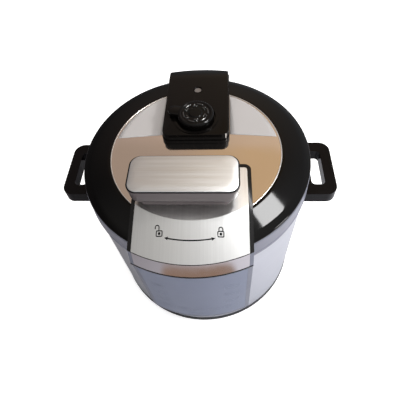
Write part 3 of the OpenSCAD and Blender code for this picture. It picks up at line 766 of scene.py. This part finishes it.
def make_panel():
    """Fascia, and the faint key outlines and dashes on its film."""
    fascia = softened("panel_frame", looks["panel_plastic"], 1.0)
    place(fascia, "base", "panel_plastic", "panel_frame")
    side_keys = [(side * 46, 162 - row * 27) for row in range(4) for side in (-1, 1)]
    low_keys = [(column * 22, 80) for column in (-1, 0, 1)]
    frames, dashes = [], []
    for keys, half_w, half_dash in ((side_keys, 10, 6), (low_keys, 9, 5)):
        for x, z in keys:
            frames.append(refine(rounded([
                (x - half_w, z - 6), (x + half_w, z - 6), (x + half_w, z + 6), (x - half_w, z + 6)
            ], 3, 4)))
            dashes.append(refine([(x - half_dash, z), (x + half_dash, z)], False))
    dashes.append(refine([(-14, 62), (14, 62)], False))
    pale = looks["ink_pale"]
    place(inked("panel_outlines", frames, on_panel, 0.5, pale, 0.3, closed=True), "base",
          "panel_film")
    place(inked("panel_dashes", dashes, on_panel, 1.1, pale, 0.3), "base", "panel_film")


def make_body():
    inner, outer = LID_R + 0.1, LID_R + 0.95
    bead = rounded([
        (inner, BEAD_Z), (outer, BEAD_Z + 0.2), (outer, BEAD_Z + 1.0), (inner, BEAD_Z + 1.2)
    ], 0.3, 3)
    place(lathe("rim_bead", bead, looks["rim_plastic"]), "base", "rim_plastic")
    for node, body, slot, width, segments, angle in (
        ("left_handle", "base", "grip_black", 3.2, 4, 30),
        ("right_handle", "base", "grip_black", 3.2, 4, 30),
        ("power_inlet", "base", "base_plastic", 0.8, 3, 40),
        ("collector_bracket", "base", "base_plastic", 0.4, 2, 40),
        ("water_collector", "collector", "cup_clear", 0.5, 3, 40),
    ):
        place(softened(node, looks[slot], width, segments, angle), body, slot, node)


def make_spring():
    """Spring under the sensor cap, a copy of the CAD coil that rides on the base."""
    coil = add_object("sensor_coil", frame["nodes"]["sensor_spring"].data.copy(),
                      looks["spring_steel"])
    place(coil, "base", "spring_steel", "sensor_spring")
    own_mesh(coil)


def make_pot():
    """Pot with a rolled rim and raised level marks inside."""
    out, wall = 110.0, 2
    bore = out - wall
    low, rim, top = pot_low.z, pot_high.x, pot_high.z
    outline = rounded([
        (0, low), (out, low, 8), (out, top - wall, 0.8), (rim, top - wall, 0.9),
        (rim, top, 0.9), (bore, top, 1.2), (bore, low + wall, 7), (0, low + wall)
    ], steps=6)
    pot = lathe("inner_pot_rolled", outline, looks["pot_aluminium"])
    place(pot, "pot", "pot_aluminium", "inner_pot")

    def on_wall(u, z, lift):
        a, r = u / bore, bore - lift
        return (r * math.sin(a), r * math.cos(a), z)

    marks = []
    for k in range(8):
        half = 9 if k % 2 else 5
        z = low + 30 + 15 * k
        marks.append(refine([(-half, z), (half, z)], False))
    place(inked("pot_levels", marks, on_wall, 0.9, looks["fastener_steel"], 0.1), "pot",
          "pot_aluminium")


# ---- Stage ----

# Colours of the room, which only reflections show
ROOM_LEFT = (0.15, 0.145, 0.15)
ROOM_RIGHT = (0.90, 0.91, 0.95)
ROOM_FRONT = (0.34, 0.33, 0.32)
TOP_LEFT = (0.68, 0.66, 0.63)
TOP_RIGHT = (1.1, 1.1, 1.1)
WOOD_LEFT = (0.50, 0.40, 0.35)
WOOD_RIGHT = (0.78, 0.60, 0.44)
WOOD_DEEP = (0.70, 0.50, 0.30)
WOOD_DARK = (0.46, 0.365, 0.30)
SHELF_EDGE = (0.05, 0.07)
TABLE = (0.30, 0.20, 0.14)
FLOOR_LEFT = (0.28, 0.27, 0.285)
FLOOR_RIGHT = (0.85, 0.86, 0.92)
PAPER = (0.92, 0.92, 0.92)


def make_camera():
    """Looks down on the front at the photograph's angle, a little to the right of it."""
    azimuth, elevation, roll = math.radians(7.7), math.radians(50.35), math.radians(-6.45)
    distance = 0.512
    aim = Vector((0, 0, lid_low.z * MM + 0.0013))
    out = math.cos(elevation)
    back = Vector((math.sin(azimuth) * out, -math.cos(azimuth) * out, math.sin(elevation)))
    level = Vector((math.cos(azimuth), math.sin(azimuth), 0))
    up = back.cross(level)
    right = level * math.cos(roll) + up * math.sin(roll)
    top = up * math.cos(roll) - level * math.sin(roll)
    data = bpy.data.cameras.new("camera")
    data.sensor_width = 36
    data.lens = 35.5
    data.shift_x = 0.0107
    data.shift_y = -0.1186
    camera = bpy.data.objects.new("camera", data)
    turn = Matrix((right, top, back)).transposed().to_4x4()
    camera.matrix_world = Matrix.Translation(aim + back * distance) @ turn
    bpy.context.scene.collection.objects.link(camera)
    bpy.context.scene.camera = camera


def add_light(name, place_at, size, power, in_gloss):
    """Round soft light aimed at the object; one that isn't in_gloss leaves no highlight."""
    data = bpy.data.lights.new(name, "AREA")
    data.shape = "DISK"
    data.size = size
    data.energy = power
    light = bpy.data.objects.new(name, data)
    light.location = place_at
    direction = Vector((0, 0, 0.2)) - Vector(place_at)
    light.rotation_euler = direction.to_track_quat("-Z", "Y").to_euler()
    light.visible_glossy = in_gloss
    bpy.context.scene.collection.objects.link(light)
    return light


def ramp_between(nodes, links, value, start, end):
    """Smooth step of a value from 0 at start to 1 at end."""
    spread = nodes.new("ShaderNodeMapRange")
    spread.interpolation_type = "SMOOTHSTEP"
    spread.inputs["From Min"].default_value = start
    spread.inputs["From Max"].default_value = end
    links.new(value, spread.inputs["Value"])
    return spread.outputs["Result"]


def towards(nodes, links, where, direction):
    """How far a position lies along a direction."""
    dot = nodes.new("ShaderNodeVectorMath")
    dot.operation = "DOT_PRODUCT"
    dot.inputs[1].default_value = direction
    links.new(where, dot.inputs[0])
    return dot.outputs["Value"]


def mix_colors(nodes, links, factor, first, second):
    """Mix of two colours; each is a constant or a node's output."""
    node = nodes.new("ShaderNodeMix")
    node.data_type = "RGBA"
    links.new(factor, node.inputs["Factor"])
    for socket, value in ((node.inputs[6], first), (node.inputs[7], second)):
        if isinstance(value, tuple):
            socket.default_value = (*value, 1)
        else:
            links.new(value, socket)
    return node.outputs[2]


def make_world():
    """Studio room: dark wall on the left, white one on the right, warm wood at the back."""
    world = bpy.data.worlds.new("studio")
    bpy.context.scene.world = world
    world.use_nodes = True
    nodes, links = world.node_tree.nodes, world.node_tree.links
    background = nodes["Background"]
    where = nodes.new("ShaderNodeTexCoord").outputs["Generated"]

    def lobe(direction, start, end):
        aimed = Vector(direction).normalized()
        return ramp_between(nodes, links, towards(nodes, links, where, aimed), start, end)

    sides = mix_colors(nodes, links, lobe((1, -0.2, 0), -0.8, 0.8), ROOM_LEFT, ROOM_RIGHT)
    across = lobe((1, 0, 0), -0.27, 0.12)
    overhead = mix_colors(nodes, links, across, TOP_LEFT, TOP_RIGHT)
    front = lobe((0, -1, 0), 0.08, 0.42)
    overhead = mix_colors(nodes, links, front, overhead, ROOM_FRONT)
    ceiling = mix_colors(nodes, links, lobe((0, 0, 1), 0.70, 0.95), sides, overhead)
    wood = mix_colors(nodes, links, lobe((1, 0, 0), -0.36, 0.2), WOOD_LEFT, WOOD_RIGHT)
    shelf = lobe((-0.05, -0.72, 0.69), *SHELF_EDGE)
    grain = mix_colors(nodes, links, lobe((1, 0, 0), -0.2, 0.06), WOOD_DARK, WOOD_DEEP)
    wood = mix_colors(nodes, links, shelf, wood, grain)
    room = mix_colors(nodes, links, lobe((-0.08, 0.66, 0.745), 0.86, 0.95), ceiling, wood)
    seen = nodes.new("ShaderNodeLightPath").outputs["Is Camera Ray"]
    links.new(mix_colors(nodes, links, seen, room, (1, 1, 1)), background.inputs["Color"])


def make_floor():
    """Pale paper that glows a little, so that the object's shadow on it stays faint."""
    reach, z = 6000, -0.3       # just under the feet
    corners = [(-reach, -reach, z), (reach, -reach, z), (reach, reach, z), (-reach, reach, z)]
    mesh = mesh_from("floor", corners, [(0, 1, 2, 3)])
    paper = Surface("floor_paper", PAPER, 0.0, 0.8, 0.1)
    paper.relief(paper.noise((60, 60, 60)), 0.05)
    nodes, links = paper.nodes, paper.links
    side = ramp_between(nodes, links, towards(nodes, links, paper.place, (1, 0, 0)), -0.42, 0.45)
    tone = mix_colors(nodes, links, side, FLOOR_LEFT, FLOOR_RIGHT)
    # A warm ellipse before the cooker, which only reflections show
    squeeze = nodes.new("ShaderNodeVectorMath")
    squeeze.operation = "MULTIPLY"
    squeeze.inputs[1].default_value = (0.38, 1, 0)
    links.new(paper.place, squeeze.inputs[0])
    gap = nodes.new("ShaderNodeVectorMath")
    gap.operation = "DISTANCE"
    gap.inputs[1].default_value = (0.002, -0.325, 0)
    links.new(squeeze.outputs["Vector"], gap.inputs[0])
    spot = ramp_between(nodes, links, gap.outputs["Value"], 0.060, 0.048)
    tone = mix_colors(nodes, links, spot, tone, TABLE)
    seen = nodes.new("ShaderNodeLightPath").outputs["Is Camera Ray"]
    links.new(mix_colors(nodes, links, seen, tone, PAPER), paper.shader.inputs["Base Color"])
    glow = nodes.new("ShaderNodeMath")
    glow.operation = "MULTIPLY"
    glow.inputs[1].default_value = 0.62
    links.new(seen, glow.inputs[0])
    paper.shader.inputs["Emission Color"].default_value = (*PAPER, 1)
    links.new(glow.outputs["Value"], paper.shader.inputs["Emission Strength"])
    add_object("floor", mesh, paper.material)


def make_stage():
    make_floor()
    make_world()
    add_light("key", (1.4, -0.3, 1.5), size=0.4, power=18, in_gloss=True)
    window = add_light("window", (0.45, 0.30, 1.38), size=0.22, power=7, in_gloss=True)
    window.data.shape = "SQUARE"
    window.visible_diffuse = False
    add_light("fill", (-0.9, -1.7, 1.2), size=1.4, power=10, in_gloss=False)
    add_light("top", (0.1, 0.2, 2.2), size=1.6, power=16, in_gloss=False)
    bpy.context.scene.view_settings.view_transform = "Standard"


# ---- Build ----

looks = {name: maker(name, *values) for name, (maker, *values) in FINISHES.items()}
make_camera()
make_stage()

for part in frame["record"]["subparts"]:
    for holder in frame["nodes"][part["node"]].material_slots:
        holder.material = looks[part["material_slot"]]

make_lid_ring()
make_disc()
make_labels()
make_tongue()
make_handle()
make_valve_housing()
make_knob()
make_panel()
make_body()
make_spring()
make_pot()
